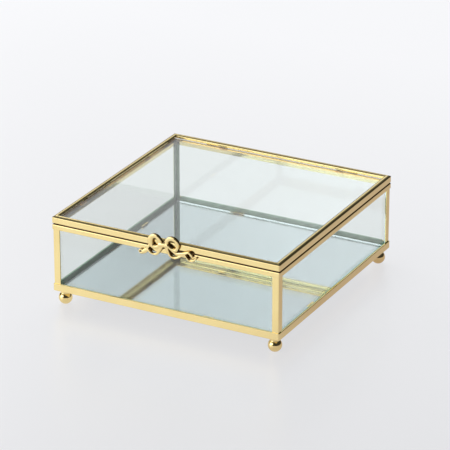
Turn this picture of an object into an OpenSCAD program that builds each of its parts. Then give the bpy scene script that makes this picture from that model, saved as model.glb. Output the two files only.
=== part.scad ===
// A glass jewelry box in a brass frame, with a mirror floor, ball feet,
// a hinged glass lid and a bow-shaped finger lift on the front of the lid.
// Millimetres. X runs along the front, +Y points to the hinges, Z = 0 is the table.

/* [Box] */
// Width of the box along the front
box_w = 150; // [120:1:200]
// Depth of the box from front to back
box_d = 150; // [120:1:200]
// Clear height of the side glass between the lower and the upper rails
glass_view_h = 35; // [25:1:60]

/* [Frame] */
// Height of the lower rails
lower_rail_h = 4.5; // [4:0.1:6]
// Height of the upper rails of the base
upper_rail_h = 3.5; // [3:0.1:5]
// Height of the lid rails
lid_rail_h = 4.4; // [4.2:0.1:6]
// Thickness of the rails' outer walls
rail_wall = 1; // [0.8:0.1:1.2]
// Width of the ledge that carries the mirror
ledge_w = 8; // [7:0.5:12]
// Thickness of that ledge
ledge_t = 1; // [0.8:0.1:1.2]
// Width of the top flange on the upper rails
upper_flange_w = 4; // [3.6:0.1:5]
// Width of the top flange on the lid rails
lid_flange_w = 3.4; // [3:0.1:3.6]
// Thickness of the upper rails' flanges
flange_t = 0.8; // [0.6:0.1:1]
// Thickness of the lid rails' flanges at the crown
lid_flange_t = 1.2; // [1.1:0.1:1.4]
// Radius of the lid rails' crowned tops
crown_r = 2.6; // [2.4:0.1:5]
// Width of the corner posts' leaves on the front and the sides
post_leaf_w = 4.3; // [3.6:0.1:5]
// Width of the rear posts' leaves on the back
post_rear_leaf_w = 3.2; // [2.6:0.1:5]
// Thickness of the corner posts' leaves
post_t = 0.6; // [0.5:0.1:0.8]
// How far the corner posts are set in from the rails' outer faces
post_inset = 0.5; // [0.4:0.1:0.6]

/* [Glass] */
// Thickness of the side panes
pane_t = 2; // [1.6:0.1:2.4]
// Thickness of the lid pane
lid_pane_t = 2; // [1.6:0.1:2.2]
// Thickness of the mirror glass
mirror_t = 1.5; // [1.2:0.1:2]
// Thickness of the backing on the mirror
backing_t = 0.2; // [0.1:0.05:0.3]

/* [Feet] */
// Diameter of the ball feet
foot_d = 8.4; // [7:0.1:10]
// Height of the feet under the lower rails
foot_h = 9.3; // [8.6:0.1:11]
// Distance of each foot's axis from the two outer faces of its corner
foot_inset = 5.2; // [4.8:0.1:6.5]
// Diameter of the feet's necks
foot_neck_d = 5.8; // [4:0.1:6.4]

/* [Lid] */
// Gap between the base and the closed lid
lid_gap = 0.5; // [0.3:0.05:0.6]
// How far the bow and the hinge knuckles stand out from the frame
stand_out = 2.5; // [2.3:0.05:2.8]

/* [Hinges] */
// Distance of each hinge from the middle of the back
hinge_x = 45; // [30:1:50]
// Length of each hinge
hinge_len = 14; // [12:0.5:18]
// Diameter of the hinge pins
pin_d = 1; // [0.8:0.05:1.1]

/* [Hidden] */
$fn = 48;

// The four sides in order, and the four corners as signs in X and Y
FRONT = 0;
RIGHT = 1;
REAR = 2;
LEFT = 3;
FRONT_LEFT = [-1, -1];
FRONT_RIGHT = [1, -1];
REAR_RIGHT = [1, 1];
REAR_LEFT = [-1, 1];

// Heights above the table
lower_z = foot_h;
post_z = lower_z + lower_rail_h;
upper_z = post_z + glass_view_h;
base_top_z = upper_z + upper_rail_h;
lid_z = base_top_z + lid_gap;
lid_top_z = lid_z + lid_rail_h;
ledge_z = lower_z + ledge_t;
mirror_z = ledge_z + backing_t;
mirror_top_z = mirror_z + mirror_t;
seam_z = base_top_z + lid_gap / 2;

// Edge radii of the frame
edge_r = 1;
lid_edge_r = 0.6;
small_edge_r = 0.3;

// Distance of the lid rails' crown line from their outer faces
crown_u = 1.9;
corner_r = 0.8;

// A hairline gap between glass and what lies against it
glass_gap = 0.02;

// The side panes stand on grey seals, inside the posts and the lower rails
seal_t = 0.35;
pane_inset = post_inset + post_t + seal_t;
seal_inset = pane_inset - glass_gap;

// The lap of a seal over the top of its rail, and its distance from the rail's outer face
seal_lap_t = 0.35;
seal_lap_inset = 0.4;

// How far the corner seals reach past their posts, or stop short of the posts' edges
seal_spare = 0.9;
seal_short = 0.5;

// The side panes
pane_clear = 0.1;
pane_h = base_top_z - flange_t - pane_clear - ledge_z;
inner_face = pane_inset + pane_t;

// The slit under the foot of each post's side leaf
slit_h = 0.6;

// The mirror lies inside the side panes, with room for the tabs around it
mirror_gap = 1;
mirror_inset = inner_face + mirror_gap;

// Tabs: one on each side of the mirror, and two on each side of the lid pane
tab_t = 0.4;
tab_len = 7;
tab_lip = 1.2;
tab_shift = 27;
pip_r = 0.6;
lid_tab_len = 5;
lid_tab_x = 40;
lid_tab_leg = 0.9;

// The lid pane lies under the lid flange, on a thin film of clear adhesive
lid_pane_clear = 0.2;
adhesive_t = 0.05;
lid_pane_z = lid_top_z - lid_flange_t - adhesive_t - lid_pane_t;

// Ball feet
foot_r = foot_d / 2;
foot_ball_z = foot_r - 0.25;

// Hinges: the knuckles clear the rails' back faces
leaf_t = 0.5;
leaf_len_z = 2.4;
hinge_clear = 0.3;
knuckle_r = (stand_out - hinge_clear) / 2;
hinge_y = box_d / 2 + hinge_clear + knuckle_r;
knuckle_gap = 0.3;
lid_knuckle_len = hinge_len * 0.36;
pin_fit = 0.05;
pin_head_r = 0.75;
pin_head_t = 0.4;
web_top = 0.35;

// Bow: how deep the casting is, how far it stays off the frame, and its pads
bow_back_gap = 0.3;
bow_depth = stand_out - bow_back_gap;
bow_pad_r = 0.8;
bow_steps = 5;
bow_blend_r = 0.1;

// The strands of the bow, each a list of [x, z, width] on its middle line,
// with x from the middle of the front and z from the seam under the lid
left_loop = [
    [-1.6, 2.0, 2.6], [-3.8, 0.0, 2.2], [-6.6, 0.2, 2.5], [-8.0, 2.4, 3.2],
    [-7.7, 5.0, 3.1], [-5.8, 6.7, 2.5], [-3.6, 6.5, 2.5], [-2.0, 4.6, 2.8]
];
right_loop = [
    [3.2, 2.7, 1.7], [2.9, 5.0, 2.2], [4.6, 6.8, 2.5], [7.2, 7.0, 2.5],
    [9.5, 5.6, 2.2], [10.0, 3.0, 1.9], [8.9, 0.5, 1.9], [6.2, 0.7, 1.6]
];
// Where the bow's two pads are, behind the outer sides of the loops
bow_pads = [[-8.1, 2.7], [9.95, 2.8]];
knot = [[-1.8, 2.0, 2.2], [0.7, 2.2, 2.6], [3.4, 2.2, 2.2]];
left_tail = [
    [-0.6, 1.4, 2.0], [-1.9, -1.4, 1.9], [-3.7, -4.1, 1.6], [-5.8, -4.8, 1.2],
    [-7.7, -4.2, 1.6], [-9.5, -3.0, 2.0], [-11.4, -3.8, 2.8], [-12.8, -4.9, 2.2]
];
left_curl = [
    [-12.6, -5.2, 1.6], [-14.5, -5.7, 1.0], [-15.5, -4.8, 0.8], [-14.7, -3.8, 0.8],
    [-12.9, -4.0, 1.0]
];
left_band = [[-9.0, -0.2, 1.6], [-9.9, -1.5, 1.5], [-10.8, -2.6, 1.6]];
upper_right_tail = [
    [3.4, 2.0, 1.5], [5.4, 0.7, 1.5], [7.4, -0.7, 1.6], [9.6, -1.6, 1.9],
    [12.3, -1.0, 1.7], [14.8, -0.2, 1.5], [17.2, 0.7, 1.2], [19.0, 0.0, 1.2],
    [19.7, -1.6, 1.1]
];
lower_right_tail = [
    [2.4, 1.0, 2.2], [3.6, -1.4, 1.9], [5.2, -3.7, 1.6], [7.6, -4.6, 1.4],
    [10.0, -3.8, 1.4], [12.4, -2.2, 1.5], [14.6, -1.4, 1.5], [15.9, -2.7, 1.5],
    [17.6, -4.2, 1.3], [19.8, -3.9, 1.3], [21.4, -2.6, 1.1], [22.2, -1.4, 0.7]
];

function side_len(side) = side % 2 == 0 ? box_w : box_d;
function side_off(side) = (side % 2 == 0 ? box_d : box_w) / 2;

// Puts what is drawn for a front at the middle of any side
module on_side(side) {
    rotate([0, 0, 90 * side])
        children();
}

// A bar's section: u is the distance from the outer face and v the height.
// Its two outer edges are rounded.
module bar_section(width, height, top_r, bottom_r) {
    translate([0, bottom_r])
        square([width, height - top_r - bottom_r]);
    translate([top_r, height - top_r])
        square([width - top_r, top_r]);
    translate([top_r, height - top_r])
        circle(top_r);
    translate([bottom_r, 0])
        square([width - bottom_r, bottom_r]);
    translate([bottom_r, bottom_r])
        circle(bottom_r);
}

// An angle with its flange at the top
module upper_section() {
    difference() {
        bar_section(upper_flange_w, upper_rail_h, edge_r, small_edge_r);
        translate([rail_wall, -flange_t])
            square([upper_flange_w, upper_rail_h]);
    }
}

// Height of the middle of a shoulder's arc, where that arc touches the crown from inside.
// run is its distance from the crown line.
function shoulder_z(run) = lid_rail_h - crown_r + sqrt(pow(crown_r - lid_edge_r, 2) - run * run);

// An angle with a crowned flange and round shoulders
module lid_section() {
    inner_u = lid_flange_w - lid_edge_r;
    outer_run = crown_u - lid_edge_r;
    inner_run = inner_u - crown_u;
    outer_z = shoulder_z(outer_run);
    inner_z = shoulder_z(inner_run);
    touch_share = lid_edge_r / (crown_r - lid_edge_r);
    crown_start = lid_edge_r - outer_run * touch_share;
    crown_end = inner_u + inner_run * touch_share;
    difference() {
        union() {
            bar_section(inner_u, outer_z + small_edge_r, small_edge_r, small_edge_r);
            translate([lid_edge_r, outer_z])
                circle(lid_edge_r);
            translate([inner_u, inner_z])
                circle(lid_edge_r);
            translate([inner_u, 0])
                square([lid_edge_r, inner_z]);
            intersection() {
                translate([crown_u, lid_rail_h - crown_r])
                    circle(crown_r);
                translate([crown_start, outer_z])
                    square([crown_end - crown_start, lid_rail_h - outer_z]);
            }
        }
        translate([rail_wall, -lid_flange_t])
            square([lid_flange_w, lid_rail_h]);
    }
}

// An angle with its ledge at the bottom
module ledge_angle_section() {
    difference() {
        bar_section(ledge_w, lower_rail_h, small_edge_r, small_edge_r);
        translate([rail_wall, ledge_t])
            square([ledge_w, lower_rail_h]);
    }
}

// The box's outline with rounded corners, as a plate from z up
module rounded_plan(z, height) {
    translate([0, 0, z])
        linear_extrude(height) {
            square([box_w - 2 * corner_r, box_d], center = true);
            square([box_w, box_d - 2 * corner_r], center = true);
            for (sx = [-1, 1], sy = [-1, 1])
                translate([sx * (box_w / 2 - corner_r), sy * (box_d / 2 - corner_r)])
                    circle(corner_r);
        }
}

// A rail along one side, mitred at both ends, with the children as its section
module mitred_rail(side, z, height, width) {
    length = side_len(side);
    off = side_off(side);
    intersection() {
        on_side(side)
            translate([0, -off, z])
                rotate([90, 0, 90])
                    linear_extrude(length, center = true)
                        children();
        on_side(side)
            translate([0, 0, z])
                linear_extrude(height)
                    polygon([
                        [-length / 2, -off], [length / 2, -off],
                        [length / 2 - width, -off + width],
                        [-length / 2 + width, -off + width]
                    ]);
        rounded_plan(z, height);
    }
}

module lower_rail(side) {
    color("gold")
        mitred_rail(side, lower_z, lower_rail_h, ledge_w)
            ledge_angle_section();
}

module upper_rail(side) {
    color("gold")
        mitred_rail(side, upper_z, upper_rail_h, upper_flange_w)
            upper_section();
}

module lid_rail(side) {
    color("gold")
        mitred_rail(side, lid_z, lid_rail_h, lid_flange_w)
            lid_section();
}

// The width of a corner post's leaf on the front or on the back
function end_leaf_w(corner) = corner.y > 0 ? post_rear_leaf_w : post_leaf_w;

// A thin angle at a corner. Its side leaf stops short of the lower rail.
module corner_post(corner) {
    outer_r = 0.5;
    color("gold")
        translate([corner.x * (box_w / 2 - post_inset), corner.y * (box_d / 2 - post_inset), post_z])
            scale([-corner.x, -corner.y, 1])
                difference() {
                    linear_extrude(glass_view_h) {
                        translate([outer_r, 0])
                            square([end_leaf_w(corner) - outer_r, post_t]);
                        translate([0, outer_r])
                            square([post_t, post_leaf_w - outer_r]);
                        intersection() {
                            translate([outer_r, outer_r])
                                circle(outer_r);
                            square(outer_r);
                        }
                    }
                    translate([-post_t, post_t, -slit_h])
                        cube([3 * post_t, post_leaf_w, 2 * slit_h]);
                }
}

// The grey seal between a lower rail and the foot of its pane.
// At the rear and on the left it also laps over the top of the rail, between the corner seals.
module lower_seal(side) {
    lapped = side == REAR || side == LEFT;
    lap_len = side_len(side) - 2 * (post_inset + post_leaf_w + seal_spare + pane_clear);
    color("darkgray") {
        mitred_rail(side, lower_z, lower_rail_h, seal_inset)
            translate([rail_wall, ledge_t])
                square([seal_inset - rail_wall, lower_rail_h - ledge_t]);
        if (lapped)
            on_side(side)
                translate([-lap_len / 2, -side_off(side), post_z]) {
                    translate([0, rail_wall, -seal_lap_t])
                        cube([lap_len, seal_inset - rail_wall, 2 * seal_lap_t]);
                    translate([0, seal_lap_inset, 0])
                        cube([lap_len, seal_inset - seal_lap_inset, seal_lap_t]);
                }
    }
}

// The grey seal between a corner post and its two panes.
// The one at the rear left squeezes out past its post, and the others end under theirs.
module corner_seal(corner) {
    inset = post_inset + post_t;
    thickness = seal_inset - inset;
    spare = corner == REAR_LEFT ? seal_spare : -seal_short;
    color("darkgray")
        translate([corner.x * (box_w / 2 - inset), corner.y * (box_d / 2 - inset), post_z])
            scale([-corner.x, -corner.y, 1])
                linear_extrude(glass_view_h) {
                    square([end_leaf_w(corner) - post_t + spare, thickness]);
                    square([thickness, post_leaf_w - post_t + spare]);
                }
}

// Front and rear panes run the full width, and the side panes fit between them
module side_pane(side) {
    full = side_len(side) - 2 * pane_inset;
    length = side % 2 == 0 ? full : full - 2 * pane_t - 2 * pane_clear;
    color("lightcyan", 0.4)
        on_side(side)
            translate([-length / 2, pane_inset - side_off(side), ledge_z])
                cube([length, pane_t, pane_h]);
}

module floor_plate(z, thickness) {
    size = [box_w - 2 * mirror_inset, box_d - 2 * mirror_inset, thickness];
    translate([-size.x / 2, -size.y / 2, z])
        cube(size);
}

module mirror_plate() {
    color("lightblue")
        floor_plate(mirror_z, mirror_t);
}

module mirror_backing() {
    color("dimgray")
        floor_plate(ledge_z, backing_t - glass_gap);
}

// A tongue bent up from the ledge, folded over the mirror's edge, with a pressed pip
module mirror_tab(side) {
    shift = side % 2 == 0 ? tab_shift : -tab_shift;
    tab_y = inner_face - side_off(side);
    on_side(side)
        translate([shift, tab_y, 0]) {
            translate([-tab_len / 2, 0, ledge_z])
                cube([tab_len, tab_t, mirror_top_z + tab_t - ledge_z]);
            translate([-tab_len / 2, 0, mirror_top_z])
                cube([tab_len, mirror_gap + tab_lip, tab_t]);
            translate([0, mirror_gap + tab_lip / 2, mirror_top_z + tab_t / 2])
                cylinder(tab_t, pip_r, pip_r / 2);
        }
}

module mirror_tabs() {
    color("gold")
        for (side = [FRONT : LEFT])
            mirror_tab(side);
}

// A turned ball foot: a neck under the rail and a ball with a small flat to stand on
module ball_foot(corner) {
    color("gold")
        translate([corner.x * (box_w / 2 - foot_inset), corner.y * (box_d / 2 - foot_inset), 0]) {
            intersection() {
                translate([0, 0, foot_ball_z])
                    sphere(foot_r);
                translate([0, 0, foot_h / 2])
                    cube([foot_d + 1, foot_d + 1, foot_h], center = true);
            }
            translate([0, 0, foot_ball_z])
                cylinder(foot_h - foot_ball_z, foot_neck_d / 2, foot_neck_d / 2);
        }
}

module lid_pane() {
    inset = rail_wall + lid_pane_clear;
    size = [box_w - 2 * inset, box_d - 2 * inset, lid_pane_t];
    color("lightcyan", 0.4)
        translate([-size.x / 2, -size.y / 2, lid_pane_z])
            cube(size);
}

// Small angles soldered inside the lid rails, under the lid pane's edge
module lid_tabs() {
    color("gold")
        for (side = [FRONT : LEFT], end = [-1, 1])
            on_side(side)
                translate([end * lid_tab_x - lid_tab_len / 2, rail_wall - side_off(side), 0]) {
                    translate([0, 0, lid_pane_z - tab_t])
                        cube([lid_tab_len, tab_lip + tab_t, tab_t]);
                    translate([0, 0, lid_pane_z - lid_tab_leg])
                        cube([lid_tab_len, tab_t, lid_tab_leg]);
                }
}

// Catmull-Rom blend of one coordinate between b and c
function blend(a, b, c, d, t) =
    0.5 * (2 * b + (c - a) * t + (2 * a - 5 * b + 4 * c - d) * t * t
        + (3 * b - a - 3 * c + d) * t * t * t);

// Smooth points along a strand. A closed strand joins up with its own start.
function smooth(points, closed) =
    let (n = len(points), last = closed ? n : n - 1)
    [
        for (i = [0 : last - 1], step = [0 : bow_steps - 1])
            let (
                a = closed ? points[(i + n - 1) % n] : points[max(i - 1, 0)],
                b = points[i],
                c = points[(i + 1) % n],
                d = closed ? points[(i + 2) % n] : points[min(i + 2, n - 1)]
            )
            blend(a, b, c, d, step / bow_steps),
        if (!closed) points[n - 1]
    ];

// The unit normal of the path at point i
function path_normal(path, i, closed) =
    let (
        n = len(path),
        before = path[closed ? (i + n - 1) % n : max(i - 1, 0)],
        after = path[closed ? (i + 1) % n : min(i + 1, n - 1)],
        run = [after.x - before.x, after.y - before.y]
    )
    [-run.y, run.x] / norm(run);

// The path moved sideways by a share of its own width
function edge(path, share, closed) = [
    for (i = [0 : len(path) - 1])
        [path[i].x, path[i].y] + path_normal(path, i, closed) * path[i].z * share
];

function reversed(list) = [for (i = [len(list) - 1 : -1 : 0]) list[i]];

// Points around the end of a path at point i. way is 1 at its last point and -1 at its first.
function round_end(path, i, way) =
    let (
        side = path_normal(path, i, false) * way,
        ahead = [side.y, -side.x]
    )
    [
        for (turn = [45, 90, 135])
            [path[i].x, path[i].y] + (side * cos(turn) + ahead * sin(turn)) * path[i].z / 2
    ];

// An open strand with round ends
module open_strand(points) {
    path = smooth(points, false);
    polygon(concat(
        edge(path, 0.5, false),
        round_end(path, len(path) - 1, 1),
        reversed(edge(path, -0.5, false)),
        round_end(path, 0, -1)
    ));
}

// A closed strand: the ring between its outer and its inner edge
module closed_strand(points) {
    path = smooth(points, true);
    difference() {
        polygon(edge(path, 0.5, true));
        polygon(edge(path, -0.5, true));
    }
}

// A cast ribbon bow on the lid's front rail. It hangs past the seam to be lifted by a finger.
module bow_ornament() {
    front_y = -box_d / 2 - bow_back_gap;
    color("gold") {
        translate([0, front_y, seam_z])
            rotate([90, 0, 0])
                linear_extrude(bow_depth)
                    offset(delta = bow_blend_r)
                        offset(delta = -bow_blend_r) {
                            closed_strand(left_loop);
                            closed_strand(right_loop);
                            open_strand(knot);
                            open_strand(left_tail);
                            open_strand(left_curl);
                            open_strand(left_band);
                            open_strand(upper_right_tail);
                            open_strand(lower_right_tail);
                        }
        for (pad = bow_pads)
            translate([pad.x, -box_d / 2, seam_z + pad.y])
                rotate([90, 0, 0])
                    cylinder(bow_back_gap + bow_depth / 2, bow_pad_r, bow_pad_r);
    }
}

// One knuckle on the hinge line from x0 to x1, with the web that joins it to its leaf.
// up is 1 for a lid leaf and -1 for a base leaf.
module knuckle(x0, x1, bore_r, up) {
    web_h = knuckle_r + web_top;
    difference() {
        union() {
            translate([x0, hinge_y, seam_z])
                rotate([0, 90, 0])
                    cylinder(x1 - x0, knuckle_r, knuckle_r);
            translate([x0, box_d / 2, seam_z + (up > 0 ? hinge_clear : -hinge_clear - web_h)])
                cube([x1 - x0, hinge_clear + knuckle_r, web_h]);
        }
        translate([x0 - 1, hinge_y, seam_z])
            rotate([0, 90, 0])
                cylinder(x1 - x0 + 2, bore_r, bore_r);
    }
}

// The flat plate of a leaf, soldered to the back of its rail
module leaf_plate(x, up) {
    start = knuckle_r + hinge_clear;
    translate([x - hinge_len / 2, box_d / 2, seam_z + (up > 0 ? start : -start - leaf_len_z)])
        cube([hinge_len, leaf_t, leaf_len_z]);
}

module hinge_base_leaf(x) {
    inner = lid_knuckle_len / 2 + knuckle_gap;
    color("gold") {
        leaf_plate(x, -1);
        knuckle(x - hinge_len / 2, x - inner, pin_d / 2, -1);
        knuckle(x + inner, x + hinge_len / 2, pin_d / 2, -1);
    }
}

module hinge_lid_leaf(x) {
    color("gold") {
        leaf_plate(x, 1);
        knuckle(x - lid_knuckle_len / 2, x + lid_knuckle_len / 2, pin_d / 2 + pin_fit, 1);
    }
}

// The pin is tight in the base leaf's knuckles and has a small head at each end
module hinge_pin(x) {
    color("goldenrod")
        translate([x, hinge_y, seam_z])
            rotate([0, 90, 0]) {
                cylinder(hinge_len, pin_d / 2, pin_d / 2, center = true);
                for (end = [-1, 1])
                    translate([0, 0, end * (hinge_len + pin_head_t) / 2])
                        cylinder(pin_head_t, pin_head_r, pin_head_r, center = true);
            }
}

lower_rail(FRONT);  // lower_rail_front
lower_rail(RIGHT);  // lower_rail_right
lower_rail(REAR);  // lower_rail_rear
lower_rail(LEFT);  // lower_rail_left
corner_post(FRONT_LEFT);  // corner_post_front_left
corner_post(FRONT_RIGHT);  // corner_post_front_right
corner_post(REAR_RIGHT);  // corner_post_rear_right
corner_post(REAR_LEFT);  // corner_post_rear_left
upper_rail(FRONT);  // upper_rail_front
upper_rail(RIGHT);  // upper_rail_right
upper_rail(REAR);  // upper_rail_rear
upper_rail(LEFT);  // upper_rail_left
side_pane(FRONT);  // front_pane
side_pane(RIGHT);  // right_pane
side_pane(REAR);  // rear_pane
side_pane(LEFT);  // left_pane
lower_seal(FRONT);  // lower_seal_front
lower_seal(RIGHT);  // lower_seal_right
lower_seal(REAR);  // lower_seal_rear
lower_seal(LEFT);  // lower_seal_left
corner_seal(FRONT_LEFT);  // corner_seal_front_left
corner_seal(FRONT_RIGHT);  // corner_seal_front_right
corner_seal(REAR_RIGHT);  // corner_seal_rear_right
corner_seal(REAR_LEFT);  // corner_seal_rear_left
mirror_plate();
mirror_backing();
mirror_tabs();
ball_foot(FRONT_LEFT);  // foot_front_left
ball_foot(FRONT_RIGHT);  // foot_front_right
ball_foot(REAR_RIGHT);  // foot_rear_right
ball_foot(REAR_LEFT);  // foot_rear_left
lid_rail(FRONT);  // lid_rail_front
lid_rail(RIGHT);  // lid_rail_right
lid_rail(REAR);  // lid_rail_rear
lid_rail(LEFT);  // lid_rail_left
lid_pane();
lid_tabs();
bow_ornament();
hinge_base_leaf(-hinge_x);  // hinge_left_base_leaf
hinge_lid_leaf(-hinge_x);  // hinge_left_lid_leaf
hinge_pin(-hinge_x);  // hinge_left_pin
hinge_base_leaf(hinge_x);  // hinge_right_base_leaf
hinge_lid_leaf(hinge_x);  // hinge_right_lid_leaf
hinge_pin(hinge_x);  // hinge_right_pin
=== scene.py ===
"""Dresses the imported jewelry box: brass, glass, a mirror floor and a cast bow, in a pale studio."""

import math

import bpy
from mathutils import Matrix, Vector


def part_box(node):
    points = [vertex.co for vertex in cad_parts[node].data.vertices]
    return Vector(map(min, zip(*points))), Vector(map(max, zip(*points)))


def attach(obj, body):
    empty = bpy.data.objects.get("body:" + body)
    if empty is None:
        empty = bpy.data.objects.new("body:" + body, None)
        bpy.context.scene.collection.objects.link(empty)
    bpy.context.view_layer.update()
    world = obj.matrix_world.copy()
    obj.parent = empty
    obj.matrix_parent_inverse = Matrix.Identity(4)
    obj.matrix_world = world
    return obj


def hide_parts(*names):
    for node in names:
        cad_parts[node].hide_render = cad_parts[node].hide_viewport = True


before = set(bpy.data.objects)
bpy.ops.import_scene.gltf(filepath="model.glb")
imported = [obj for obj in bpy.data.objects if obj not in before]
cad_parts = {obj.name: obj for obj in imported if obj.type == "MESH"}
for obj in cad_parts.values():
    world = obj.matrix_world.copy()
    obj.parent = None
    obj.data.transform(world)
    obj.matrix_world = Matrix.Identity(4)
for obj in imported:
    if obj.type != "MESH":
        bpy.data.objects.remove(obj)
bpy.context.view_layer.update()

MM = 0.001
SIDES = ("front", "right", "rear", "left")
CORNERS = ("front_left", "front_right", "rear_right", "rear_left")

# Places on the closed lid: the middle of the gap under it, and its front and right faces
SEAM_Z = (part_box("lid_rail_front")[0].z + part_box("upper_rail_front")[1].z) / 2
LID_FRONT_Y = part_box("lid_rail_front")[0].y
LID_RIGHT_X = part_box("lid_rail_right")[1].x

# Linear colours of the box
BRASS = (0.97, 0.79, 0.38)
BRASS_DEEP = (0.90, 0.69, 0.29)
POLISHED = (0.96, 0.77, 0.37)
POLISHED_DEEP = (0.88, 0.64, 0.26)
# Dark brown painted in as shade, in the lid's seam and in the bow's deep parts
PAINTED_SHADE_BROWN = (0.20, 0.11, 0.035)
SILVER = (0.67, 0.73, 0.77)
GLASS_TINT = (0.955, 0.985, 0.972)
GLASS_SHADOW = (0.965, 0.975, 0.97)
SEAL_GREY = (0.17, 0.33, 0.20)
SEAL_PALE = (0.29, 0.47, 0.32)
PAINT_GREY = (0.16, 0.17, 0.18)
PAINT_PALE = (0.24, 0.25, 0.26)

GLASS_IOR = 1.52

# The scale of the brass grain along a bar, next to 1 across it
GRAIN_ALONG = 0.02

# How far above and below the seam's middle its painted shade starts to fade, and where it ends
SEAM_SHADE_FADE = (0.3 * MM, 0.6 * MM)

# How deep the painted shade on the seam's lips reaches in from the lid's outer face, and where it is at
# full strength
SEAM_SHADE_DEPTH = (1.5 * MM, 1.1 * MM)

# How far off the lid's front face the bow's painted shade starts, and where it is at full strength
RECESS_SHADE_DEPTH = (1.5 * MM, 1.0 * MM)

# Most noise lies between these values
NOISE_LOW = 0.35
NOISE_HIGH = 0.65


# ---------------------------------------------------------------- node trees

class Nodes:
    """A short way to write a node tree. A value is a number, a colour or another node's output."""

    def __init__(self, tree):
        self.tree = tree

    def feed(self, socket, value):
        """Links an output to a socket, or sets the socket's own value."""
        if isinstance(value, bpy.types.NodeSocket):
            self.tree.links.new(value, socket)
        else:
            socket.default_value = value

    def add(self, kind, inputs=None, **settings):
        """A new node with its settings and its inputs."""
        node = self.tree.nodes.new(kind)
        for key, value in settings.items():
            setattr(node, key, value)
        for key, value in (inputs or {}).items():
            self.feed(node.inputs[key], value)
        return node

    def compute(self, operation, left, right=0.0, clamp=False):
        """The result of a sum on one or two values."""
        node = self.add("ShaderNodeMath", {0: left, 1: right}, operation=operation, use_clamp=clamp)
        return node.outputs["Value"]

    def spread(self, value, start, end, first=0.0, last=1.0, curve="LINEAR"):
        """value from start to end spread from first to last, and held there outside."""
        limits = {"Value": value, "From Min": start, "From Max": end, "To Min": first, "To Max": last}
        return self.add("ShaderNodeMapRange", limits, interpolation_type=curve).outputs["Result"]


class Paint(Nodes):
    """A new material. Its patterns are fixed to the box's own frame."""

    def __init__(self, name):
        self.material = bpy.data.materials.new(name)
        self.material.use_nodes = True
        super().__init__(self.material.node_tree)
        self.shader = self.tree.nodes["Principled BSDF"]
        self.output = self.tree.nodes["Material Output"]

    def set(self, **inputs):
        """Sets the shader's inputs. An underscore stands for a space in an input's name."""
        for key, value in inputs.items():
            self.feed(self.shader.inputs[key.replace("_", " ")], value)

    def point(self):
        """The point on the surface, in metres."""
        return self.add("ShaderNodeTexCoord").outputs["Object"]

    def coordinates(self):
        """The point's X, Y and Z, in metres."""
        apart = self.add("ShaderNodeSeparateXYZ", {"Vector": self.point()})
        return [apart.outputs[axis] for axis in "XYZ"]

    def noise(self, scale, detail, stretch=(1, 1, 1)):
        """Noise squeezed by stretch along each axis, so that a small number there gives long streaks."""
        mapping = self.add("ShaderNodeMapping", {"Vector": self.point(), "Scale": stretch})
        inputs = {"Vector": mapping.outputs["Vector"], "Scale": scale, "Detail": detail}
        return self.add("ShaderNodeTexNoise", inputs).outputs["Fac"]

    def vary(self, noise, first, last):
        """Noise spread from first to last."""
        return self.spread(noise, NOISE_LOW, NOISE_HIGH, first, last)

    def mix(self, factor, left, right):
        """A blend of two colours. Each is three numbers or another node's output."""
        blend = self.add("ShaderNodeMix", data_type="RGBA")
        # A mix node has a number, a vector and a colour socket of each name: the colours are 6, 7 and out 2
        self.feed(blend.inputs[0], factor)
        for place, colour in ((6, left), (7, right)):
            is_output = isinstance(colour, bpy.types.NodeSocket)
            self.feed(blend.inputs[place], colour if is_output else (*colour, 1))
        return blend.outputs[2]

    def bump(self, height, strength, distance):
        """Raises the surface where height is large."""
        inputs = {"Height": height, "Strength": strength, "Distance": distance}
        self.set(Normal=self.add("ShaderNodeBump", inputs).outputs["Normal"])


# ---------------------------------------------------------------- materials

def seam_painted_shade(m):
    """1 on the outer lips of the seam under the lid, where shade is painted into the brass to darken the
    gap, and 0 elsewhere.
    """
    x, y, z = m.coordinates()
    off_seam = m.compute("ABSOLUTE", m.compute("SUBTRACT", z, SEAM_Z))
    out = m.compute("MAXIMUM", m.compute("ABSOLUTE", x), m.compute("ABSOLUTE", y))
    near = m.spread(off_seam, *SEAM_SHADE_FADE, first=1.0, last=0.0)
    rim = m.spread(out, *(LID_RIGHT_X - depth for depth in SEAM_SHADE_DEPTH))
    return m.compute("MULTIPLY", near, rim)


def brushed_brass(name, stretch):
    """Satin brass with a fine grain along the bar, with painted shade on the lips of the lid's seam."""
    m = Paint(name)
    patches = m.noise(scale=55, detail=3)
    grain = m.noise(scale=900, detail=3, stretch=stretch)
    unshaded = m.mix(m.vary(patches, first=0.0, last=0.35), BRASS, BRASS_DEEP)
    # Painted shade: dark brown mixed in on the seam's lips, standing in for the shade in the gap
    m.set(Metallic=1.0, Base_Color=m.mix(seam_painted_shade(m), unshaded, PAINTED_SHADE_BROWN))
    m.set(Roughness=m.vary(grain, first=0.08, last=0.14))
    m.bump(grain, strength=0.025, distance=0.05 * MM)
    return m.material


def recess_painted_shade(m):
    """1 where shade is painted into the deep parts of the bow, near the lid's rail, and 0 on its front."""
    _, y, _ = m.coordinates()
    return m.spread(y, *(LID_FRONT_Y - depth for depth in RECESS_SHADE_DEPTH))


def polished_brass(name, shade_mask=None):
    """Bright lacquered brass with faint rubbing. shade_mask, if given, marks where shade is painted into
    the deep places of a cast piece.
    """
    m = Paint(name)
    patches = m.noise(scale=160, detail=4)
    rub = m.noise(scale=1400, detail=2)
    colour = m.mix(m.vary(patches, first=0.0, last=0.35), POLISHED, POLISHED_DEEP)
    if shade_mask:
        # Painted shade: dark brown mixed into the deep parts of the piece
        colour = m.mix(shade_mask(m), colour, PAINTED_SHADE_BROWN)
    m.set(Metallic=1.0, Base_Color=colour, Roughness=m.vary(rub, first=0.04, last=0.10))
    m.bump(patches, strength=0.05, distance=0.1 * MM)
    return m.material


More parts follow.
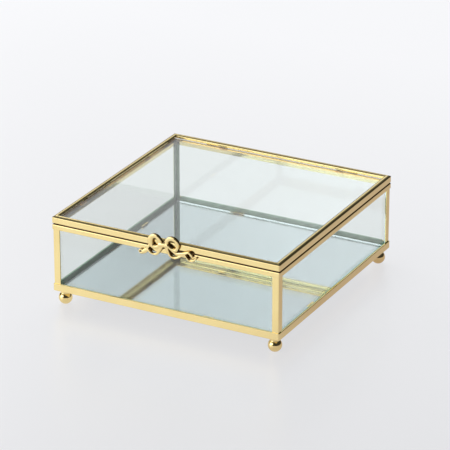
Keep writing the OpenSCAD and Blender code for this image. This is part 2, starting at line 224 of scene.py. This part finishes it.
def clear_glass(name):
    """Float glass that lets the lamps through to what is behind it."""
    m = Paint(name)
    m.set(Base_Color=(*GLASS_TINT, 1), Roughness=0.0, IOR=GLASS_IOR, Transmission_Weight=1.0)
    path = m.add("ShaderNodeLightPath")
    open_way = m.add("ShaderNodeBsdfTransparent", {"Color": (*GLASS_SHADOW, 1)})
    either = m.add("ShaderNodeMixShader", {0: path.outputs["Is Shadow Ray"],
                                           1: m.shader.outputs["BSDF"],
                                           2: open_way.outputs["BSDF"]})
    m.feed(m.output.inputs["Surface"], either.outputs["Shader"])
    return m.material


def silver(name):
    """The reflecting layer under the mirror's glass."""
    m = Paint(name)
    m.set(Base_Color=(*SILVER, 1), Metallic=1.0, Roughness=0.0)
    return m.material


def seal_putty(name):
    """Matt grey-green glazing seal."""
    m = Paint(name)
    mottle = m.noise(scale=260, detail=5)
    m.set(Base_Color=m.mix(m.vary(mottle, first=0.0, last=1.0), SEAL_GREY, SEAL_PALE))
    m.set(Roughness=m.vary(mottle, first=0.45, last=0.65))
    m.bump(mottle, strength=0.3, distance=0.1 * MM)
    return m.material


def backing_paint(name):
    """Speckled grey paint that protects the mirror's silver."""
    m = Paint(name)
    speckle = m.noise(scale=700, detail=5)
    m.set(Base_Color=m.mix(m.vary(speckle, first=0.0, last=1.0), PAINT_GREY, PAINT_PALE))
    m.set(Roughness=m.vary(speckle, first=0.5, last=0.7))
    m.bump(speckle, strength=0.2, distance=0.1 * MM)
    return m.material


# ---------------------------------------------------------------- CAD pieces

# A face whose normal has a Z below this looks down
DOWNWARD = -0.9


def dress(node, *materials):
    """Gives a CAD node its materials."""
    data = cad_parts[node].data
    data.materials.clear()
    for material in materials:
        data.materials.append(material)


def coat_underside(node, index):
    """Gives the downward faces of a CAD node another one of its materials."""
    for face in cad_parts[node].data.polygons:
        if face.normal.z < DOWNWARD:
            face.material_index = index


# ---------------------------------------------------------------- new pieces

def add_piece(name, points, faces, material, body):
    """A smooth new piece made of points in millimetres."""
    mesh = bpy.data.meshes.new(name)
    mesh.from_pydata([Vector(point) * MM for point in points], [], faces)
    mesh.shade_smooth()
    mesh.materials.append(material)
    piece = bpy.data.objects.new(name, mesh)
    bpy.context.scene.collection.objects.link(piece)
    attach(piece, body)
    return piece


def round_turns(sides):
    """The angles of the corners of a round shape."""
    return [2 * math.pi * i / sides for i in range(sides)]


def join_rings(faces, here, there, size):
    """Adds the faces between two closed rings, given by the numbers of their first points."""
    for i in range(size):
        j = (i + 1) % size
        faces.append((here + i, here + j, there + j, there + i))


def close_ends(faces, first, last, size):
    """Adds a face over the first ring and one over the last."""
    faces.append(tuple(range(first + size - 1, first - 1, -1)))
    faces.append(tuple(range(last, last + size)))


# The turned foot in millimetres: a ball on a small flat, and a neck with a fillet below and a flare above
BALL_R = 4.2
BALL_Z = 3.95
NECK_R = 2.9
FILLET_R = 0.55
FLARE_R = 0.9
FLAT_EDGE = 0.35
FOOT_WELD = 0.001

# Where the flare's arc ends, and how far the ball's arc starts above the flat, in degrees
FLARE_END = 115
BALL_START = 2

BALL_STEPS = 26
FILLET_STEPS = 8
FOOT_SIDES = 56


def arc(centre, radius, start, end, steps):
    """Points on a circle from one angle to another, in degrees."""
    x, y = centre
    turns = [math.radians(start + (end - start) * i / steps) for i in range(steps + 1)]
    return [(x + radius * math.cos(turn), y + radius * math.sin(turn)) for turn in turns]


def foot_profile(height):
    """The turned outline of a foot as radius and height, from the table up."""
    fillet_x = NECK_R + FILLET_R
    fillet_z = BALL_Z + math.sqrt((BALL_R + FILLET_R) ** 2 - fillet_x ** 2)
    meet = math.degrees(math.atan2(fillet_z - BALL_Z, fillet_x))
    flat_r = math.sqrt(BALL_R ** 2 - BALL_Z ** 2)
    flat_angle = -math.degrees(math.acos(flat_r / BALL_R))
    flat = [(0, 0), (flat_r - FLAT_EDGE, 0)]
    ball = arc((0, BALL_Z), BALL_R, flat_angle + BALL_START, meet, BALL_STEPS)
    fillet = arc((fillet_x, fillet_z), FILLET_R, 180 + meet, 180, FILLET_STEPS)
    flare = arc((NECK_R + FLARE_R, height - FLARE_R), FLARE_R, 180, FLARE_END, FILLET_STEPS)
    top = [(flare[-1][0], height), (0, height)]
    return flat + ball + fillet + flare + top


def build_foot(corner):
    """A turned ball foot with a filleted neck, in the place of the plain one."""
    node = "foot_" + corner
    low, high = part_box(node)
    axis = (low + high) / 2 / MM
    profile = foot_profile(high.z / MM)
    points, faces = [], []
    for radius, z in profile:
        for turn in round_turns(FOOT_SIDES):
            points.append((axis.x + radius * math.cos(turn), axis.y + radius * math.sin(turn), z))
    for row in range(len(profile) - 1):
        join_rings(faces, row * FOOT_SIDES, (row + 1) * FOOT_SIDES, FOOT_SIDES)
    piece = add_piece("turned_" + node, points, faces, bright_brass, "base")
    piece.modifiers.new("weld", "WELD").merge_threshold = FOOT_WELD * MM
    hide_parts(node)


# The strands of the bow as (x, z, width) in millimetres on their middle lines,
# with x from the middle of the front and z from the seam under the lid
LEFT_LOOP = [
    (-1.6, 2.0, 2.6), (-3.8, 0.0, 2.2), (-6.6, 0.2, 2.5), (-8.0, 2.4, 3.2),
    (-7.7, 5.0, 3.1), (-5.8, 6.7, 2.5), (-3.6, 6.5, 2.5), (-2.0, 4.6, 2.8),
]
RIGHT_LOOP = [
    (3.2, 2.7, 1.7), (2.9, 5.0, 2.2), (4.6, 6.8, 2.5), (7.2, 7.0, 2.5),
    (9.5, 5.6, 2.2), (10.0, 3.0, 1.9), (8.9, 0.5, 1.9), (6.2, 0.7, 1.6),
]
KNOT = [(-1.8, 2.0, 2.2), (0.7, 2.2, 2.6), (3.4, 2.2, 2.2)]
LEFT_TAIL = [
    (-0.6, 1.4, 2.0), (-1.9, -1.4, 1.9), (-3.7, -4.1, 1.6), (-5.8, -4.8, 1.2),
    (-7.7, -4.2, 1.6), (-9.5, -3.0, 2.0), (-11.4, -3.8, 2.8), (-12.8, -4.9, 2.2),
]
LEFT_CURL = [
    (-12.6, -5.2, 1.6), (-14.5, -5.7, 1.0), (-15.5, -4.8, 0.8), (-14.7, -3.8, 0.8),
    (-12.9, -4.0, 1.0),
]
LEFT_BAND = [(-9.0, -0.2, 1.6), (-9.9, -1.5, 1.5), (-10.8, -2.6, 1.6)]
UPPER_RIGHT_TAIL = [
    (3.4, 2.0, 1.5), (5.4, 0.7, 1.5), (7.4, -0.7, 1.6), (9.6, -1.6, 1.9),
    (12.3, -1.0, 1.7), (14.8, -0.2, 1.5), (17.2, 0.7, 1.1), (19.0, 0.0, 0.9),
    (19.7, -1.6, 0.7),
]
LOWER_RIGHT_TAIL = [
    (2.4, 1.0, 2.2), (3.6, -1.4, 1.9), (5.2, -3.7, 1.6), (7.6, -4.6, 1.4),
    (10.0, -3.8, 1.4), (12.4, -2.2, 1.5), (14.6, -1.4, 1.3), (15.9, -2.7, 1.1),
    (17.6, -4.2, 1.2), (19.8, -3.9, 1.3), (21.4, -2.6, 1.1), (22.2, -1.4, 0.7),
]
# Each strand, whether it closes on itself, and how far its shoulders and its crown stand off the lid
BOW_STRANDS = (
    (LEFT_LOOP, True, 1.65, 2.15),
    (RIGHT_LOOP, True, 1.65, 2.15),
    (KNOT, False, 1.85, 2.5),
    (LEFT_TAIL, False, 1.35, 1.85),
    (LEFT_CURL, False, 1.35, 1.65),
    (LEFT_BAND, False, 1.30, 1.70),
    (UPPER_RIGHT_TAIL, False, 1.55, 2.0),
    (LOWER_RIGHT_TAIL, False, 1.35, 1.8),
)

# How far their flat backs stand off the lid
BOW_BACK = 0.3

# Steps between two points of a strand and over its dome, and the degrees where a round end has its rings
PATH_STEPS = 6
DOME_STEPS = 10
END_TURNS = (25, 50, 75)

# The x and z of the round pads between the bow's back and the lid's rail, and their size
BOW_PADS = ((-8.1, 2.7), (9.95, 2.8))
PAD_R = 0.8
PAD_DEPTH = 1.2
PAD_SIDES = 20

# How the strands melt together: the grain in millimetres, the smoothing, and the share of faces kept
BOW_VOXEL = 0.1
BOW_RELAX = 0.5
BOW_PASSES = 3
BOW_KEEP = 0.3


def smooth_path(points, closed):
    """Catmull-Rom points through a strand's points."""
    count = len(points)
    path = []
    for i in range(count if closed else count - 1):
        near = range(i - 1, i + 3)
        places = [k % count if closed else min(max(k, 0), count - 1) for k in near]
        a, b, c, d = (Vector(points[place]) for place in places)
        for step in range(PATH_STEPS):
            t = step / PATH_STEPS
            path.append(0.5 * (2 * b + (c - a) * t + (2 * a - 5 * b + 4 * c - d) * t ** 2
                               + (3 * b - a - 3 * c + d) * t ** 3))
    if not closed:
        path.append(Vector(points[-1]))
    return path


def strand_rings(points, closed):
    """Centre, direction, width and the share of that width at each place along a strand.

    The share falls below 1 only at the ends of an open strand, which makes them round.
    """
    path = smooth_path(points, closed)
    count = len(path)
    rings = []
    for i, place in enumerate(path):
        before = path[(i - 1) % count] if closed else path[max(i - 1, 0)]
        after = path[(i + 1) % count] if closed else path[min(i + 1, count - 1)]
        ahead = Vector((after.x - before.x, after.y - before.y)).normalized()
        rings.append((Vector((place.x, place.y)), ahead, place.z, 1.0))
    if closed:
        return rings
    turns = [math.radians(turn) for turn in END_TURNS]
    ends = []
    for (centre, ahead, width, _), way in ((rings[0], -1), (rings[-1], 1)):
        reach = ahead * way * width / 2
        ends.append([(centre + reach * math.sin(turn), ahead, width, math.cos(turn)) for turn in turns])
    return ends[0][::-1] + rings + ends[1]


def bow_point(x, out, z):
    """A point given in millimetres from the middle of the lid's front face, at the seam's height."""
    return (x, LID_FRONT_Y / MM - out, SEAM_Z / MM + z)


def add_strand(points, faces, strand, closed, shoulder, crown):
    """Adds a swept strand with a domed front and a flat back."""
    dome = [math.radians(180 - 180 * i / DOME_STEPS) for i in range(DOME_STEPS + 1)]
    first = len(points)
    rings = strand_rings(strand, closed)
    for centre, ahead, width, share in rings:
        side = Vector((-ahead.y, ahead.x)) * width / 2 * share
        front = [(math.cos(turn), shoulder + (crown - shoulder) * share * math.sin(turn)) for turn in dome]
        for across, out in [(-1, BOW_BACK), *front, (1, BOW_BACK)]:
            spot = centre + side * across
            points.append(bow_point(spot.x, out, spot.y))
    size = len(dome) + 2
    for i in range(len(rings) if closed else len(rings) - 1):
        join_rings(faces, first + i * size, first + (i + 1) % len(rings) * size, size)
    if not closed:
        close_ends(faces, first, first + (len(rings) - 1) * size, size)


def add_pad(points, faces, x, z):
    """Adds a round pad between the bow's back and the lid's rail."""
    first = len(points)
    for out in (0, PAD_DEPTH):
        for turn in round_turns(PAD_SIDES):
            points.append(bow_point(x + PAD_R * math.cos(turn), out, z + PAD_R * math.sin(turn)))
    join_rings(faces, first, first + PAD_SIDES, PAD_SIDES)
    close_ends(faces, first, first + PAD_SIDES, PAD_SIDES)


def build_bow():
    """A cast ribbon bow: domed strands that melt into each other where they cross."""
    points, faces = [], []
    for strand, closed, shoulder, crown in BOW_STRANDS:
        add_strand(points, faces, strand, closed, shoulder, crown)
    for x, z in BOW_PADS:
        add_pad(points, faces, x, z)
    piece = add_piece("cast_bow", points, faces, cast_brass, "lid")
    fuse = piece.modifiers.new("fuse", "REMESH")
    fuse.mode = "VOXEL"
    fuse.voxel_size = BOW_VOXEL * MM
    fuse.use_smooth_shade = True
    relax = piece.modifiers.new("relax", "SMOOTH")
    relax.factor = BOW_RELAX
    relax.iterations = BOW_PASSES
    thin = piece.modifiers.new("thin", "DECIMATE")
    thin.ratio = BOW_KEEP
    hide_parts("bow_ornament")


# ---------------------------------------------------------------- studio

# The floor's own colour is dark, and its glow makes it pale
FLOOR_BASE = (0.13, 0.131, 0.133)
FLOOR_GLOW_FRONT = (0.611, 0.614, 0.630)
FLOOR_GLOW_BACK = (0.747, 0.751, 0.770)

# The glow changes between these two places along Y, and the floor's side is twice its reach
FLOOR_FRONT = -0.3
FLOOR_BACK = 0.4
FLOOR_REACH = 6.0

# What the brass mirrors of the floor, as two cards, and half the width of the step between them
CARD_WHITE = (0.68, 0.68, 0.69)
CARD_DULL = (0.45, 0.39, 0.40)
CARD_EDGE = 0.08

# Soft lamps: the name, the two sides, the place, the power in watts, and whether the box mirrors it
LAMPS = (
    ("left_window", (1.4, 0.9), (-1.4, 0.75, 0.9), 8, True),
    ("ceiling", (2.4, 2.4), (-0.9, 1.0, 1.8), 30, False),
    ("front_fill", (2.2, 2.2), (-0.5, -0.9, 1.8), 8, False),
)

# Bright parts of the room: the way to each, its inner and outer radius in degrees, and its brightness
ROOM_GLOWS = (
    ((-0.604, 0.720, 0.342), 6, 13, 0.25),
    ((-0.435, 0.819, 0.375), 6, 13, 0.68),
    ((-0.256, 0.891, 0.375), 6, 13, 0.34),
    ((-0.065, 0.925, 0.375), 6, 13, 0.30),
    ((-0.76, -0.59, 0.24), 12, 24, 2.2),
    ((-0.43, -0.81, 0.36), 10, 22, 1.8),
    ((-0.43, 0.40, 0.81), 10, 36, 0.16),
)
ROOM_BASE = 0.05
ROOM_TINT = (0.98, 0.99, 1.0)

# The camera: its angles in degrees, its lens and sensor in millimetres, and the rest in metres
CAMERA_AZIMUTH = 27.82
CAMERA_ELEVATION = 23.52
CAMERA_LENS = 235.8
CAMERA_SENSOR = 36
CAMERA_DISTANCE = 1.766
CAMERA_TARGET = (0.0005, 0, 0.0379)
CAMERA_CLIP = 20

# The most bounces of light: in all, off mirrors, through glass, and through panes for the shadows
ALL_BOUNCES = 24
MIRROR_BOUNCES = 12
GLASS_BOUNCES = 20
SHADOW_BOUNCES = 24


def floor_paint(name):
    """Pale floor that glows a little, more towards the back, which keeps the shadows light.

    What the brass mirrors of it is white at the front left and dull and warm at the rear right,
    as if two large cards lay there.
    """
    m = Paint(name)
    x, y, _ = m.coordinates()
    glow = m.mix(m.spread(y, FLOOR_FRONT, FLOOR_BACK), FLOOR_GLOW_FRONT, FLOOR_GLOW_BACK)
    across = m.compute("ADD", x, y)
    cards = m.mix(m.spread(across, -CARD_EDGE, CARD_EDGE), CARD_WHITE, CARD_DULL)
    # A ray bent by glass counts as a glossy one too, and is taken off
    path = m.add("ShaderNodeLightPath").outputs
    mirrored = m.compute("SUBTRACT", path["Is Glossy Ray"], path["Is Transmission Ray"], clamp=True)
    m.set(Base_Color=(*FLOOR_BASE, 1), Roughness=0.32, Specular_IOR_Level=0.3)
    m.set(Emission_Color=m.mix(mirrored, glow, cards), Emission_Strength=1.0)
    return m.material


def build_floor():
    """A wide floor under the feet."""
    mesh = bpy.data.meshes.new("studio_floor")
    reach = FLOOR_REACH
    corners = [(-reach, -reach, 0), (reach, -reach, 0), (reach, reach, 0), (-reach, reach, 0)]
    mesh.from_pydata(corners, [], [(0, 1, 2, 3)])
    mesh.materials.append(floor_paint("floor_white"))
    floor = bpy.data.objects.new("studio_floor", mesh)
    bpy.context.scene.collection.objects.link(floor)


def add_lamp(name, size, place, power, seen):
    """A soft lamp that faces the box. seen says whether the brass and the glass mirror it."""
    lamp = bpy.data.lights.new(name, "AREA")
    lamp.shape = "RECTANGLE"
    lamp.size, lamp.size_y = size
    lamp.energy = power
    thing = bpy.data.objects.new(name, lamp)
    thing.visible_glossy = seen
    thing.visible_transmission = seen
    thing.location = place
    thing.rotation_euler = (-Vector(place)).to_track_quat("-Z", "Y").to_euler()
    bpy.context.scene.collection.objects.link(thing)


def build_world():
    """A dim room with a few soft bright areas."""
    world = bpy.data.worlds.new("studio")
    world.use_nodes = True
    room = Nodes(world.node_tree)
    way = room.add("ShaderNodeTexCoord").outputs["Generated"]
    total = ROOM_BASE
    for centre, inner, outer, brightness in ROOM_GLOWS:
        ways = {0: way, 1: Vector(centre).normalized()}
        near = room.add("ShaderNodeVectorMath", ways, operation="DOT_PRODUCT").outputs["Value"]
        edge, heart = (math.cos(math.radians(radius)) for radius in (outer, inner))
        glow = room.spread(near, edge, heart, last=brightness, curve="SMOOTHSTEP")
        total = room.compute("ADD", glow, total)
    background = world.node_tree.nodes["Background"]
    room.feed(background.inputs["Strength"], total)
    room.feed(background.inputs["Color"], (*ROOM_TINT, 1))
    bpy.context.scene.world = world


def build_camera():
    """Looks at the box from the front and the right, from above, with a long lens."""
    camera = bpy.data.cameras.new("camera")
    camera.sensor_width = CAMERA_SENSOR
    camera.lens = CAMERA_LENS
    camera.clip_end = CAMERA_CLIP
    thing = bpy.data.objects.new("camera", camera)
    azimuth = math.radians(CAMERA_AZIMUTH)
    elevation = math.radians(CAMERA_ELEVATION)
    away = Vector((math.sin(azimuth) * math.cos(elevation),
                   -math.cos(azimuth) * math.cos(elevation),
                   math.sin(elevation)))
    thing.location = Vector(CAMERA_TARGET) + away * CAMERA_DISTANCE
    thing.rotation_euler = (-away).to_track_quat("-Z", "Y").to_euler()
    bpy.context.scene.collection.objects.link(thing)
    bpy.context.scene.camera = thing


def set_light():
    """Keeps colours plain, and lets light through all the panes and back from the mirror."""
    scene = bpy.context.scene
    scene.view_settings.view_transform = "Standard"
    scene.view_settings.look = "None"
    scene.cycles.max_bounces = ALL_BOUNCES
    scene.cycles.glossy_bounces = MIRROR_BOUNCES
    scene.cycles.transmission_bounces = GLASS_BOUNCES
    scene.cycles.transparent_max_bounces = SHADOW_BOUNCES


# ---------------------------------------------------------------- the scene

brass_x = brushed_brass("brass_along_x", (GRAIN_ALONG, 1, 1))
brass_y = brushed_brass("brass_along_y", (1, GRAIN_ALONG, 1))
brass_z = brushed_brass("brass_along_z", (1, 1, GRAIN_ALONG))
bright_brass = polished_brass("polished_brass")
# The bow's brass, with painted shade in its deep parts
cast_brass = polished_brass("cast_brass", recess_painted_shade)
glass = clear_glass("clear_glass")
putty = seal_putty("seal_putty")

for side in SIDES:
    along = brass_x if side in ("front", "rear") else brass_y
    for kind in ("lower_rail_", "upper_rail_", "lid_rail_"):
        dress(kind + side, along)
    dress(side + "_pane", glass)
    dress("lower_seal_" + side, putty)
for corner in CORNERS:
    dress("corner_post_" + corner, brass_z)
    dress("corner_seal_" + corner, putty)
for side in ("left", "right"):
    for kind in ("base_leaf", "lid_leaf", "pin"):
        dress(f"hinge_{side}_{kind}", bright_brass)
for node in ("mirror_tabs", "lid_tabs"):
    dress(node, bright_brass)
dress("lid_pane", glass)
dress("mirror_plate", glass, silver("mirror_silver"))
coat_underside("mirror_plate", index=1)
dress("mirror_backing", backing_paint("mirror_backing_paint"))

for corner in CORNERS:
    build_foot(corner)
build_bow()

build_camera()
build_world()
build_floor()
for lamp in LAMPS:
    add_lamp(*lamp)
set_light()
